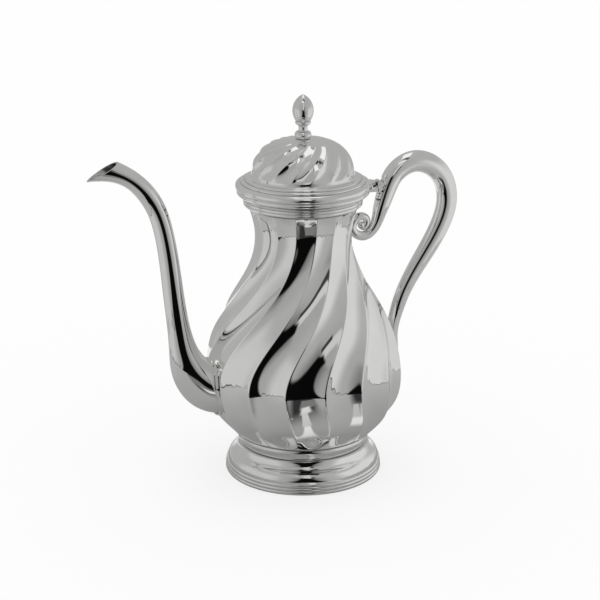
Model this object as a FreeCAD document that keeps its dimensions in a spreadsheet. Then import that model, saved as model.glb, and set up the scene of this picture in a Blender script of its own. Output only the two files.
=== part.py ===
import FreeCAD, Part
import math
import os
import Sketcher
from FreeCAD import Vector

# Hinged coffee pot of polished silver plate: a pear-shaped body with sixteen swirled flutes,
# a spun foot, a swan-neck spout, a scrolled handle and a domed lid on a pinned hinge.
# Millimetres, Z up. The origin is on the pot's axis in the plane the foot stands on.
# The spout points to -X and the handle to +X.

sizes = {
    # Sheet metal and running gaps
    "metal": 1.2,
    "lid_gap": 0.4,
    "swing_gap": 0.35,
    "pin_fit": 0.04,
    # Foot: reeded base wire, ogee and flaring collar
    "wire_radius": 56.9,
    "wire_width": 4.2,
    "wire_height": 7.8,
    "reed_fullness": 0.577,
    "foot_inset": 0.9,
    "foot_step": 9.4,
    "foot_rise": 14.6,
    "collar_height": 9.9,
    "collar_flare": 4.8,
    "collar_lip": 0.8,
    "collar_fullness": 2.19,
    # Body of the pot: radii of the ridge line and the rise from each to the next
    "haunch_radius": 65.2,
    "belly_radius": 72.2,
    "shoulder_radius": 68.1,
    "waist_radius": 53.7,
    "throat_radius": 40.3,
    "neck_radius": 35.2,
    "mouth_radius": 40.3,
    "haunch_rise": 15.7,
    "belly_rise": 22,
    "shoulder_rise": 30,
    "waist_rise": 30,
    "throat_rise": 25,
    "neck_rise": 23,
    "flare_rise": 16.2,
    "flare_inset": 2.8,
    "mouth_rise": 9,
    # Flutes of the body
    "flute_count": 16,
    "flute_depth": 4,
    "flute_swell": 1.5,
    "flute_phase": 28.6,
    "flute_turn": 47.3,
    "flute_return": 6,
    "turn_above_belly": 10,
    "turn_below_mouth": 15.2,
    "flute_run_in": 11,
    "flute_run_out": 8,
    "flute_plain": 1.6,
    "seam_rise": 10,
    "seam_turn": 4,
    # Mouth band
    "band_height": 7.4,
    "band_skirt": 1.6,
    "band_width": 2.3,
    "band_seat": 0.4,
    "band_batter": 0.8,
    "band_fullness": 0.58,
    # Lid: rim moulding, bezel and fluted dome
    "rim_overhang": 4,
    "rim_wall": 4,
    "underbead_height": 3.3,
    "underbead_inset": 1.3,
    "bead_height": 5.3,
    "bead_inset": 1.2,
    "step_height": 1.9,
    "step_tread": 1.1,
    "step_inset": 1.7,
    "upper_step_height": 1.6,
    "upper_step_tread": 1.2,
    "upper_step_inset": 1.6,
    "ledge_width": 1.6,
    "dome_fillet": 1.3,
    "dome_fillet_height": 1.5,
    "bead_fullness": 0.507,
    "step_fullness": 0.56,
    "fillet_fullness": 0.705,
    "rim_hollow": 8.2,
    "bezel_drop": 3.6,
    "bezel_play": 0.6,
    "bezel_seat": 0.8,
    "dome_height": 25.9,
    "dome_square": 2.84,
    "dome_flat": 5.4,
    "dome_flute_depth": 2.2,
    "dome_turn": 64.6,
    "dome_turn_lag": 1.2,
    "dome_phase": 24,
    "dome_plain": 0.03,
    "dome_run_in": 0.16,
    "dome_run_out": 0.25,
    # Finial on the lid
    "bud_radius": 7.5,
    "bud_height": 18.8,
    "bud_belly_rise": 7.5,
    "bud_tip": 2,
    "bud_base": 5.3,
    "finial_foot": 5.1,
    "finial_foot_height": 4.9,
    "finial_foot_taper": 0.1,
    "foot_fullness": 0.75,
    "finial_neck": 3.6,
    "finial_neck_height": 5,
    "finial_neck_flare": 0.2,
    "neck_fullness": 1.2,
    "finial_cup": 4.8,
    "finial_cup_height": 2.5,
    "cup_fullness": 0.75,
    "stud_radius": 2,
    "stud_length": 6.2,
    "stud_play": 0.1,
    "washer_radius": 5,
    "washer_thick": 0.8,
    "nut_radius": 4.2,
    "nut_thick": 2.8,
    # Hinge at the handle side
    "hinge_reach": 10.9,
    "hinge_lift": 2.3,
    "hinge_width": 9,
    "barrel_radius": 2.3,
    "hinge_pin_radius": 1,
    "pin_end": 0.4,
    "middle_knuckle": 4.2,
    "leaf_thick": 3.6,
    "leaf_spread": 32,
    "leaf_tuck": 4.7,
    "fixed_leaf_thick": 2.6,
    "fixed_leaf_width": 7,
    "saddle_inset": 0.3,
    "saddle_reach": 1.6,
    "saddle_drop": 1.2,
    "leaf_way_depth": 2.5,
    "leaf_way_height": 7,
    "leaf_way_rise": 1,
    # Spout
    "spout_root": 35.5,
    "spout_root_width": 23.5,
    "spout_root_drop": 0.5,
    "spout_bore": 14.2,
    "spout_reach": 154,
    "spout_tip_rise": 30,
    "spout_lip_slant": 29,
    "spout_lip_back": 9.4,
    "spout_lip_drop": 4.3,
    "spout_metal": 1.3,
    "spout_collar_width": 2.2,
    "spout_collar_thick": 1.3,
    "spout_hole": 8.5,
    # Handle
    "handle_reach": 110.5,
    "hinge_in_stem": 2.4,
    "handle_rise": 16.6,
    "handle_thick": 15.4,
    "scroll_thick": 6.4,
    "scroll_bite": 1,
    "scroll_eye": 5.2,
    "tail_thick": 8,
}

doc = FreeCAD.newDocument("coffee_pot")
sheet = doc.addObject("Spreadsheet::Sheet", "Sizes")
sheet_rows = []


def put(alias, text):
    """Write one named size, or a formula of named sizes, into the sheet."""
    row = len(sheet_rows) + 1
    sheet_rows.append(alias)
    sheet.set("A%d" % row, alias)
    sheet.set("B%d" % row, text)
    sheet.setAlias("B%d" % row, alias)


def size(alias):
    return float(sheet.get(alias))


for alias, value in sizes.items():
    put(alias, str(value))

# Radii and heights that follow from the sizes above
put("foot_radius", "=wire_radius - foot_inset")
put("stem_radius", "=foot_radius - foot_step")
put("collar_radius", "=stem_radius + collar_flare")
put("foot_top", "=wire_height + foot_rise")
put("vessel_base", "=foot_top + collar_height")
put("haunch_height", "=vessel_base + haunch_rise")
put("belly_height", "=haunch_height + belly_rise")
put("shoulder_height", "=belly_height + shoulder_rise")
put("seam_height", "=shoulder_height + seam_rise")
put("waist_height", "=shoulder_height + waist_rise")
put("throat_height", "=waist_height + throat_rise")
put("neck_height", "=throat_height + neck_rise")
put("flare_height", "=neck_height + flare_rise")
put("vessel_top", "=flare_height + mouth_rise")
put("mouth_bore", "=mouth_radius - metal")
put("mouth_top", "=vessel_top - band_skirt + band_height")
put("band_radius", "=mouth_radius + band_width")
put("lid_base", "=mouth_top + lid_gap")
put("rim_radius", "=band_radius + rim_overhang")
put("rim_bore", "=rim_radius - rim_wall")
put("bead_low", "=lid_base + underbead_height")
put("step_low", "=bead_low + bead_height")
put("upper_step_low", "=step_low + step_height")
put("ledge_up", "=upper_step_low + upper_step_height")
put("step_radius", "=rim_radius - bead_inset - step_tread")
put("upper_step_radius", "=step_radius - step_inset - upper_step_tread")
put("ledge_radius", "=upper_step_radius - upper_step_inset")
put("dome_radius", "=ledge_radius - ledge_width - dome_fillet")
put("dome_base", "=ledge_up + dome_fillet_height")
put("dome_top", "=dome_base + dome_height")
put("hinge_x", "=rim_radius + hinge_reach")
put("hinge_z", "=lid_base + hinge_lift")
put("stem_edge", "=hinge_x + barrel_radius - hinge_in_stem")
put("stem_middle", "=stem_edge + handle_thick / 2")
doc.recompute()


def origin_plane(body, role):
    for feature in body.Origin.OriginFeatures:
        if feature.Role == role:
            return feature
    raise ValueError("no plane " + role)


def arc_centre(start, end, radius, left):
    """Centre of the shorter arc from start to end, with its centre on the left or right of travel."""
    chord = end - start
    middle = (start + end) * 0.5
    side = Vector(-chord.y, chord.x, 0)
    side.normalize()
    rise = math.sqrt(max(radius * radius - chord.Length ** 2 / 4, 0))
    return middle + side * (rise if left else -rise)


def spun(label, outline):
    """A body of revolution. Each step of the outline is (radius, height) with, for an arc to the next
    corner, its radius and whether it is "round" or "hollow", or its radius as a multiple of the chord
    and whether it is a "bead" or a "cove"."""
    body = doc.addObject("PartDesign::Body", label + "_body")
    body.Label = label
    sketch = body.newObject("Sketcher::SketchObject", label + "_outline")
    sketch.AttachmentSupport = (origin_plane(body, "XZ_Plane"), "")
    sketch.MapMode = "FlatFace"
    corners = []
    for number, step in enumerate(outline):
        put("%s_out_%d" % (label, number), "=" + step[0])
        put("%s_up_%d" % (label, number), "=" + step[1])
    for number, step in enumerate(outline):
        if len(step) == 2:
            continue
        reach = step[2]
        if step[3] in ("bead", "cove"):
            following = (number + 1) % len(outline)
            wide = "%s_out_%d - %s_out_%d" % (label, following, label, number)
            high = "%s_up_%d - %s_up_%d" % (label, following, label, number)
            reach = "%s * sqrt((%s)^2 + (%s)^2)" % (step[2], wide, high)
        put("%s_arc_%d" % (label, number), "=" + reach)
    doc.recompute()
    for number, step in enumerate(outline):
        corners.append(Vector(size("%s_out_%d" % (label, number)), size("%s_up_%d" % (label, number)), 0))
    ends = []
    for number, step in enumerate(outline):
        start = corners[number]
        end = corners[(number + 1) % len(corners)]
        if len(step) == 2:
            edge = sketch.addGeometry(Part.LineSegment(start, end), False)
            ends.append((edge, 1, 2))
            continue
        bulges = step[3] in ("round", "bead")
        radius = size("%s_arc_%d" % (label, number))
        centre = arc_centre(start, end, radius, bulges)
        first, last = (start, end) if bulges else (end, start)
        first_angle = math.atan2(first.y - centre.y, first.x - centre.x)
        last_angle = math.atan2(last.y - centre.y, last.x - centre.x)
        ring = Part.Circle(centre, Vector(0, 0, 1), radius)
        edge = sketch.addGeometry(Part.ArcOfCircle(ring, first_angle, last_angle), False)
        ends.append((edge, 1, 2) if bulges else (edge, 2, 1))
    for number in range(len(ends)):
        edge, start, end = ends[number]
        following, next_start, next_end = ends[(number + 1) % len(ends)]
        sketch.addConstraint(Sketcher.Constraint("Coincident", edge, end, following, next_start))
    for number, step in enumerate(outline):
        edge, start, end = ends[number]
        corner = corners[number]
        for axis, kind, value in (("out", "DistanceX", corner.x), ("up", "DistanceY", corner.y)):
            name = "%s_%d" % (axis, number)
            index = sketch.addConstraint(Sketcher.Constraint(kind, -1, 1, edge, start, value))
            sketch.renameConstraint(index, name)
            sketch.setExpression("Constraints." + name, "Sizes.%s_%s" % (label, name))
        if len(step) > 2:
            name = "arc_%d" % number
            radius = size("%s_%s" % (label, name))
            index = sketch.addConstraint(Sketcher.Constraint("Radius", edge, radius))
            sketch.renameConstraint(index, name)
            sketch.setExpression("Constraints." + name, "Sizes.%s_%s" % (label, name))
    turned = body.newObject("PartDesign::Revolution", label + "_spin")
    turned.Profile = sketch
    turned.ReferenceAxis = (sketch, ["V_Axis"])
    turned.Angle = 360
    doc.recompute()
    return body


def barrel(label, radius, length, start):
    """A cylinder lying along Y on the hinge line, from start towards +Y."""
    rod = doc.addObject("Part::Cylinder", label)
    rod.Label = label
    rod.setExpression("Radius", radius)
    rod.setExpression("Height", length)
    rod.Placement = FreeCAD.Placement(Vector(0, 0, 0), FreeCAD.Rotation(Vector(1, 0, 0), -90))
    rod.setExpression("Placement.Base.x", "Sizes.hinge_x")
    rod.setExpression("Placement.Base.y", start)
    rod.setExpression("Placement.Base.z", "Sizes.hinge_z")
    return rod


def cut_away(label, base, tools):
    """The base with the tools cut out of it, one after the other."""
    result = base
    for number, tool in enumerate(tools):
        cut = doc.addObject("Part::Cut", "%s_cut_%d" % (label, number))
        cut.Base = result
        cut.Tool = tool
        result = cut
    result.Label = label
    doc.recompute()
    return result


def made(label, shape):
    """A piece whose shape no sketched feature can give; its sizes were read from the sheet."""
    piece = doc.addObject("Part::Feature", label)
    piece.Label = label
    piece.Shape = shape
    return piece


# Base wire: three reeds on a flat ring that stands on the table
foot_wire = spun("foot_wire", [
    ("wire_radius - wire_width", "0"),
    ("wire_radius", "0", "reed_fullness", "bead"),
    ("wire_radius", "wire_height / 3", "reed_fullness", "bead"),
    ("wire_radius - foot_inset / 3", "wire_height * 2 / 3", "reed_fullness", "bead"),
    ("foot_radius", "wire_height"),
    ("wire_radius - wire_width", "wire_height"),
])

# Spun foot: an ogee of two equal arcs that rises from the wire to the waist under the collar
put("ogee", "=((foot_radius - stem_radius)^2 + foot_rise^2) / (4 * (foot_radius - stem_radius))")
put("ogee_slant", "=(foot_radius - stem_radius - 2 * ogee) / (2 * ogee)")
put("ogee_drop", "=foot_rise / (2 * ogee)")
foot = spun("foot_ogee", [
    ("foot_radius - metal", "wire_height"),
    ("foot_radius", "wire_height", "ogee", "round"),
    ("stem_radius + ogee + ogee * ogee_slant", "foot_top - ogee * ogee_drop", "ogee", "hollow"),
    ("stem_radius", "foot_top"),
    ("stem_radius - metal", "foot_top", "ogee + metal", "round"),
    ("stem_radius + ogee + (ogee + metal) * ogee_slant", "foot_top - (ogee + metal) * ogee_drop",
     "ogee - metal", "hollow"),
])

# Collar: a flaring cup between the foot and the body, undercut so that a dark line shows beneath it
collar = spun("foot_collar", [
    ("stem_radius - metal", "foot_top"),
    ("stem_radius - collar_lip / 4", "foot_top"),
    ("stem_radius + collar_lip", "foot_top + collar_lip", "collar_fullness", "cove"),
    ("collar_radius", "vessel_base"),
    ("collar_radius - metal", "vessel_base", "collar_fullness", "bead"),
    ("stem_radius - metal", "foot_top + collar_lip"),
])

# Body: the ridge line runs from the collar over the belly to the mouth
count = int(size("flute_count"))
ridge_heights = [size("vessel_base"), size("haunch_height"), size("belly_height"), size("shoulder_height"),
                 size("waist_height"), size("throat_height"), size("neck_height"),
                 size("flare_height"), size("vessel_top")]
ridge_radii = [size("collar_radius"), size("haunch_radius"), size("belly_radius"), size("shoulder_radius"),
               size("waist_radius"), size("throat_radius"), size("neck_radius"),
               size("mouth_radius") - size("flare_inset"), size("mouth_radius")]
ridge = Part.BSplineCurve()
ridge.interpolate(Points=[Vector(up, out, 0) for up, out in zip(ridge_heights, ridge_radii)],
                  Parameters=ridge_heights)


def smooth(share):
    share = min(max(share, 0.0), 1.0)
    return share * share * (3 - 2 * share)


def rounded(share):
    return math.sin(min(max(share, 0.0), 1.0) * math.pi / 2)


def body_turn(height):
    """Swirl of the ridges in degrees: upright at the mouth, turned at the belly, easing back below it."""
    low = size("belly_height") + size("turn_above_belly")
    high = size("vessel_top") - size("turn_below_mouth")
    lower = smooth((low - height) / (low - size("vessel_base")))
    upper = smooth((height - low) / (high - low))
    return size("flute_phase") + size("flute_turn") * upper + size("flute_return") * lower


def body_depth(radius, height):
    """Depth of the flutes: in step with the girth, running out at the collar and under the mouth."""
    plain = size("flute_plain")
    run_in = rounded((height - size("vessel_base") - plain) / size("flute_run_in"))
    run_out = rounded((size("vessel_top") - plain - height) / size("flute_run_out"))
    return size("flute_depth") * (radius / size("belly_radius")) ** size("flute_swell") * run_in * run_out


def fluted_faces(rows):
    """Faces of a fluted skin. Each row is (ridge radius, height, depth, turn in degrees)."""
    grid = []
    for step in range(-4, 5):
        share = step / 4
        column = []
        for radius, height, depth, turn in rows:
            out = radius - depth * (1 - share * share)
            angle = math.radians(turn) + share * math.pi / count
            column.append(Vector(out * math.cos(angle), out * math.sin(angle), height))
        grid.append(column)
    skin = Part.BSplineSurface()
    skin.interpolate(grid)
    flute = skin.toShape()
    return [flute.rotated(Vector(0, 0, 0), Vector(0, 0, 1), 360.0 * turn / count) for turn in range(count)]


def rim_wire(faces, height):
    """Closed wire of the edges that lie at one height."""
    level = []
    for face in faces:
        for edge in face.Edges:
            box = edge.BoundBox
            if abs(box.ZMin - height) < 1e-4 and abs(box.ZMax - height) < 1e-4:
                level.append(edge)
    return Part.Wire(Part.__sortEdges__(level))


def flat_ring(outside, inside, height):
    """The flat edge between an outer and an inner skin."""
    return Part.makeFace([rim_wire(outside, height), rim_wire(inside, height)], "Part::FaceMakerBullseye")


def closed_solid(faces):
    shell = Part.makeShell(faces)
    shell.sewShape()
    solid = Part.makeSolid(shell)
    if solid.Volume < 0:
        solid.reverse()
    return solid


def body_rows(inset, bottom, top):
    steps = 56
    rows = []
    for step in range(steps + 1):
        height = bottom + (top - bottom) * step / steps
        radius = ridge.value(height).y
        rows.append((radius - inset, height, body_depth(radius, height), body_turn(height)))
    return rows


def body_block(inset):
    """The body as a filled block, to trim neighbours against."""
    faces = fluted_faces(body_rows(inset, size("vessel_base"), size("vessel_top")))
    caps = [Part.Face(rim_wire(faces, size("vessel_base"))), Part.Face(rim_wire(faces, size("vessel_top")))]
    return closed_solid(faces + caps)


# Floor: a disc that stands on the collar and carries the walls
put("floor_up", "=vessel_base + metal")
doc.recompute()
put("floor_radius", repr(ridge.value(size("floor_up")).y))
body_floor = spun("body_floor", [
    ("0", "vessel_base"),
    ("collar_radius", "vessel_base"),
    ("floor_radius", "floor_up"),
    ("0", "floor_up"),
])

# Walls: four stampings soldered edge to edge, a bowl and a neck in near and far halves whose seams run
# down under the spout and the handle
outer_faces = fluted_faces(body_rows(0.0, size("floor_up"), size("vessel_top")))
inner_faces = fluted_faces(body_rows(size("metal"), size("floor_up"), size("vessel_top")))
mouth_edge = flat_ring(outer_faces, inner_faces, size("vessel_top"))
floor_edge = flat_ring(outer_faces, inner_faces, size("floor_up"))
spout_height = size("belly_height") - size("spout_root_drop")
passage_length = size("belly_radius") + size("spout_root")
passage = Part.makeCylinder(size("spout_hole"), passage_length,
                            Vector(-passage_length, 0, spout_height), Vector(1, 0, 0))
wall = closed_solid(outer_faces + inner_faces + [mouth_edge, floor_edge]).cut(passage)
full_block = body_block(0.0)
clear_of_all = 2 * size("belly_radius")
walls = []
for level, bottom, top in (("bowl", 0.0, size("seam_height")),
                           ("neck", size("seam_height"), size("vessel_top") + clear_of_all)):
    for side, start in (("near", -clear_of_all), ("far", 0.0)):
        corner = Vector(-clear_of_all, start, bottom)
        room = Part.makeBox(2 * clear_of_all, clear_of_all, top - bottom, corner)
        room.rotate(Vector(0, 0, 0), Vector(0, 0, 1), size("seam_turn"))
        walls.append(made("body_%s_%s" % (level, side), wall.common(room)))

# Mouth band: a reeded ring soldered on the top edge of the body, with a short skirt over the neck
put("band_pitch", "=band_height / 3")
put("band_foot", "=vessel_top - band_skirt")
mouth_band = spun("mouth_band", [
    ("mouth_bore", "vessel_top"),
    ("mouth_radius + band_seat", "vessel_top"),
    ("mouth_radius + band_seat", "band_foot"),
    ("band_radius - band_batter", "band_foot", "band_fullness", "bead"),
    ("band_radius - band_batter / 2", "band_foot + band_pitch", "band_fullness", "bead"),
    ("band_radius - band_batter / 4", "band_foot + band_pitch * 2", "band_fullness", "bead"),
    ("band_radius", "mouth_top"),
    ("mouth_bore", "mouth_top"),
])


def tube(path, steps, thinner):
    """A solid tube that bends in the XZ plane. Each stop of the path is (x, z, depth, width)."""
    run = [0.0]
    for before, after in zip(path, path[1:]):
        run.append(run[-1] + math.hypot(after[0] - before[0], after[1] - before[1]))
    middle = Part.BSplineCurve()
    middle.interpolate(Points=[Vector(stop[0], 0, stop[1]) for stop in path], Parameters=run)
    girth = Part.BSplineCurve()
    girth.interpolate(Points=[Vector(way, stop[2], stop[3]) for way, stop in zip(run, path)], Parameters=run)
    corners = 12
    rings = []
    for step in range(steps + 1):
        along = run[-1] * step / steps
        centre = middle.value(along)
        heading = middle.tangent(along)[0]
        across = Vector(-heading.z, 0, heading.x)
        tall = girth.value(along).y / 2 - thinner
        wide = girth.value(along).z / 2 - thinner
        around = []
        for corner in range(corners):
            angle = corner * 2 * math.pi / corners
            around.append(centre + Vector(0, wide * math.cos(angle), 0) + across * (tall * math.sin(angle)))
        ring = Part.BSplineCurve()
        ring.interpolate(Points=around, PeriodicFlag=True)
        begin, finish = ring.FirstParameter, ring.LastParameter
        half = (begin + finish) / 2
        rings.append(Part.Wire([ring.toShape(begin, half), ring.toShape(half, finish)]))
    return Part.makeLoft(rings, True, False)


# Spout: a swan neck, oval from the body up and wider towards the lip, cut off slantwise to a point
belly = size("belly_radius")
root = size("spout_root")
root_width = size("spout_root_width")
bore = size("spout_bore")
reach = size("spout_reach")
tip = size("mouth_top") + size("spout_tip_rise")
spout_path = [
    (14 - belly, spout_height - 3.5, root, root_width),
    (2 - belly, spout_height, root, root_width),
    (-belly - 6.8, spout_height + 7, root - 2.5, root_width - 1.5),
    (-belly - 13.8, spout_height + 17.5, root - 8, root_width - 4.5),
    (-belly - 17.8, spout_height + 29.5, bore + 7.3, bore + 1.2),
    (-belly - 20.1, spout_height + 42.8, bore + 3.2, bore - 1.6),
    (-belly - 23.4, spout_height + 68.8, bore + 1, bore - 2.6),
    (52.8 - reach, tip - 54, bore - 0.3, bore - 3),
    (47 - reach, tip - 33, bore - 0.5, bore - 3),
    (38.8 - reach, tip - 19.4, bore - 0.8, bore - 2.6),
    (29 - reach, tip - 10, bore - 1, bore - 1.6),
    (16 - reach, tip - 3.5, bore + 1.2, bore - 0.2),
    (-reach, tip, bore + 5.8, bore + 0.8),
    (-reach - 12, tip + 1.5, bore + 7.8, bore + 1.8),
]
spout_outer = tube(spout_path, 40, 0.0)
spout_inner = tube(spout_path, 40, size("spout_metal"))
lip_cut = Part.makeBox(2 * reach, 2 * reach, reach, Vector(-reach, -reach, 0))
lip_cut.rotate(Vector(0, 0, 0), Vector(0, 1, 0), -size("spout_lip_slant"))
lip_cut.translate(Vector(size("spout_lip_back") - reach, 0, tip - size("spout_lip_drop")))
spout_solid = spout_outer.cut(spout_inner).cut(lip_cut).cut(full_block)
spout = made("spout_tube", spout_solid)

# Narrow raised collar that covers the seam between spout and body
collar_thick = size("spout_collar_thick")
collar_stops = []
for stop in spout_path[:4]:
    collar_stops.append((stop[0], stop[1], stop[2] + 2 * collar_thick, stop[3] + 2 * collar_thick))
collar_reach = body_block(-size("spout_collar_width"))
collar_ring = tube(collar_stops, 12, 0.0).common(collar_reach).cut(full_block).cut(spout_outer)
spout_collar = made("spout_collar", collar_ring)

# Handle: rises from a tapered tail on the body, loops over and ends in a scroll against the neck,
# with a ball for its eye
belly_up = size("belly_height")
neck = size("neck_radius")
neck_up = size("neck_height")
stem = size("stem_edge")
brim = size("lid_base")
loop = size("handle_reach")
crown = brim + size("handle_rise")
thick = size("handle_thick")
scroll = size("scroll_thick")
tail = size("tail_thick")
tail_stops = [(0.3, 8.5, tail * 0.3), (-3.2, 15, tail * 0.7), (-6.2, 24, tail), (-6.4, 34, tail + 1.2),
              (-4.8, 42.5, tail + 2), (-0.3, 57, tail + 3)]
stem_stops = [(3.9, 7.6, thick - 0.8), (0, -0.8, thick - 1.6), (-2.9, -10.8, thick - 2.8),
              (-4.4, -18.8, thick - 4.8)]
handle_path = [(belly + inner + girth / 2, belly_up + rise, girth) for inner, rise, girth in tail_stops]
handle_path += [
    (loop - 20.1, belly_up + 80.5, thick - 2.6),
    (loop - 6.2, brim - 35.4, thick - 1),
    (loop, brim - 12.8, thick),
    (loop - 8.3, crown - 7.4, thick),
    (loop - 26, crown, thick + 0.4),
]
handle_path += [(stem + inner + girth / 2, brim + rise, girth) for inner, rise, girth in stem_stops]
curl = neck + scroll / 2 - size("scroll_bite")
handle_path += [
    (curl + 18.2, neck_up + 4, scroll + 2),
    (curl + 14.2, neck_up - 1.9, scroll + 1),
    (curl + 8.5, neck_up - 4.5, scroll + 0.7),
    (curl + 3.5, neck_up - 3, scroll + 0.4),
    (curl, neck_up + 1.5, scroll),
    (curl + 1.5, neck_up + 7, scroll - 0.2),
    (curl + 6.2, neck_up + 10.3, scroll - 0.4),
    (curl + 10.4, neck_up + 8.4, scroll - 0.8),
    (curl + 11, neck_up + 4.6, scroll - 1.2),
    (curl + 8.7, neck_up + 2, scroll - 1.6),
    (curl + 6.1, neck_up + 3.2, scroll - 2.2),
]
handle_tube = tube([(stop[0], stop[1], stop[2], stop[2]) for stop in handle_path], 90, 0.0)
scroll_eye = Part.makeSphere(size("scroll_eye") / 2, Vector(curl + 6.8, 0, neck_up + 4))
handle_blank = made("handle_blank", handle_tube.fuse(scroll_eye).cut(full_block))

# Lid rim: a large bead over a smaller one, with stepped reeds up to the foot of the dome
lid_rim = spun("lid_rim", [
    ("rim_bore", "lid_base"),
    ("rim_radius - underbead_inset", "lid_base", "bead_fullness", "bead"),
    ("rim_radius", "bead_low", "bead_fullness", "bead"),
    ("rim_radius - bead_inset", "step_low"),
    ("step_radius", "step_low", "step_fullness", "bead"),
    ("step_radius - step_inset", "upper_step_low"),
    ("upper_step_radius", "upper_step_low", "step_fullness", "bead"),
    ("ledge_radius", "ledge_up"),
    ("dome_radius + dome_fillet", "ledge_up", "fillet_fullness", "cove"),
    ("dome_radius", "dome_base"),
    ("dome_radius - metal", "dome_base"),
    ("dome_radius - metal", "ledge_up - metal"),
    ("rim_bore", "dome_base - rim_hollow"),
])

# Bezel: the ring under the lid that drops into the mouth, with a flange to the rim
put("bezel_radius", "=mouth_bore - bezel_play")
lid_bezel = spun("lid_bezel", [
    ("bezel_radius - metal", "mouth_top - bezel_drop"),
    ("bezel_radius", "mouth_top - bezel_drop"),
    ("bezel_radius", "lid_base + bezel_seat"),
    ("rim_bore", "lid_base + bezel_seat"),
    ("rim_bore", "lid_base + bezel_seat + metal"),
    ("bezel_radius - metal", "lid_base + bezel_seat + metal"),
])


def dome_rows(inset):
    """Rows of the dome from its foot to the flat under the finial, evenly spaced along the curve."""
    radius = size("dome_radius") - inset
    rise = size("dome_height") - inset
    flat = size("dome_flat")
    square = size("dome_square")
    last = math.sqrt(1 - (flat / radius) ** square)
    fine = 120
    outline = []
    for step in range(fine + 1):
        share = last * math.sin(step * math.pi / (2 * fine))
        out = radius * (1 - share * share) ** (1 / square)
        outline.append(Vector(size("dome_base") + rise * share, out, 0))
    curve = Part.BSplineCurve()
    curve.interpolate(outline)
    row_count = 31
    stops = curve.discretize(Number=row_count)
    rows = []
    for number, stop in enumerate(stops):
        along = number / (row_count - 1)
        out = flat if number == row_count - 1 else stop.y
        run_in = rounded((along - size("dome_plain")) / size("dome_run_in"))
        run_out = rounded((1 - along) / size("dome_run_out"))
        depth = size("dome_flute_depth") * (out / radius) * run_in * run_out
        turn = size("dome_phase") + size("dome_turn") * along ** size("dome_turn_lag")
        rows.append((out, stop.x, depth, turn))
    return rows


outer_rows = dome_rows(0.0)
inner_rows = dome_rows(size("metal"))
dome_outside = fluted_faces(outer_rows)
dome_inside = fluted_faces(inner_rows)
dome_skins = dome_outside + dome_inside
dome_skins.append(flat_ring(dome_outside, dome_inside, size("dome_base")))
dome_skins.append(Part.Face(rim_wire(dome_outside, outer_rows[-1][1])))
dome_skins.append(Part.Face(rim_wire(dome_inside, inner_rows[-1][1])))
flat_up = outer_rows[-1][1]
flat_down = inner_rows[-1][1]
stud_hole = Part.makeCylinder(size("stud_radius") + size("stud_play"), 3 * (flat_up - flat_down),
                              Vector(0, 0, 2 * flat_down - flat_up))
lid_dome = made("lid_dome", closed_solid(dome_skins).cut(stud_hole))

# Finial: a pointed bud in a cup on a thin neck and a round foot, with a stud down through the dome
put("dome_flat_up", repr(flat_up))
put("dome_flat_down", repr(flat_down))
put("neck_low", "=dome_flat_up + finial_foot_height")
put("cup_low", "=neck_low + finial_neck_height")
put("bud_low", "=cup_low + finial_cup_height")
put("bud_belly", "=bud_low + bud_belly_rise")
put("bud_crown", "=bud_low + bud_height")
put("bud_side", "=bud_crown - bud_belly - bud_tip")
put("bud_centre", "=((bud_radius - bud_tip)^2 - bud_side^2) / (2 * (bud_radius - bud_tip))")
put("bud_upper", "=bud_radius - bud_centre")
put("bud_lower", "=((bud_radius - bud_base)^2 + (bud_belly - bud_low)^2) / (2 * (bud_radius - bud_base))")
finial = spun("finial", [
    ("0", "dome_flat_up - stud_length"),
    ("stud_radius", "dome_flat_up - stud_length"),
    ("stud_radius", "dome_flat_up"),
    ("finial_foot", "dome_flat_up", "foot_fullness", "bead"),
    ("finial_foot - finial_foot_taper", "neck_low"),
    ("finial_neck", "neck_low", "neck_fullness", "cove"),
    ("finial_neck + finial_neck_flare", "cup_low"),
    ("finial_cup", "cup_low", "cup_fullness", "bead"),
    ("bud_base", "bud_low", "bud_lower", "round"),
    ("bud_radius", "bud_belly", "bud_upper", "round"),
    ("-bud_centre * bud_tip / (bud_upper - bud_tip)",
     "bud_crown - bud_tip + bud_side * bud_tip / (bud_upper - bud_tip)", "bud_tip", "round"),
    ("0", "bud_crown"),
])

# Washer and nut that hold the finial from inside the dome
finial_washer = spun("finial_washer", [
    ("stud_radius + stud_play", "dome_flat_down - washer_thick"),
    ("washer_radius", "dome_flat_down - washer_thick"),
    ("washer_radius", "dome_flat_down"),
    ("stud_radius + stud_play", "dome_flat_down"),
])
nut_block = doc.addObject("Part::Prism", "nut_block")
nut_block.Polygon = 6
nut_block.setExpression("Circumradius", "Sizes.nut_radius")
nut_block.setExpression("Height", "Sizes.nut_thick")
nut_block.setExpression("Placement.Base.z", "Sizes.dome_flat_down - Sizes.washer_thick - Sizes.nut_thick")
nut_bore = doc.addObject("Part::Cylinder", "nut_bore")
nut_bore.setExpression("Radius", "Sizes.stud_radius")
nut_bore.setExpression("Height", "Sizes.nut_thick * 3")
nut_bore.setExpression("Placement.Base.z", "Sizes.dome_flat_down - Sizes.washer_thick - Sizes.nut_thick * 2")
finial_nut = cut_away("finial_nut", nut_block, [nut_bore])

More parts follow.
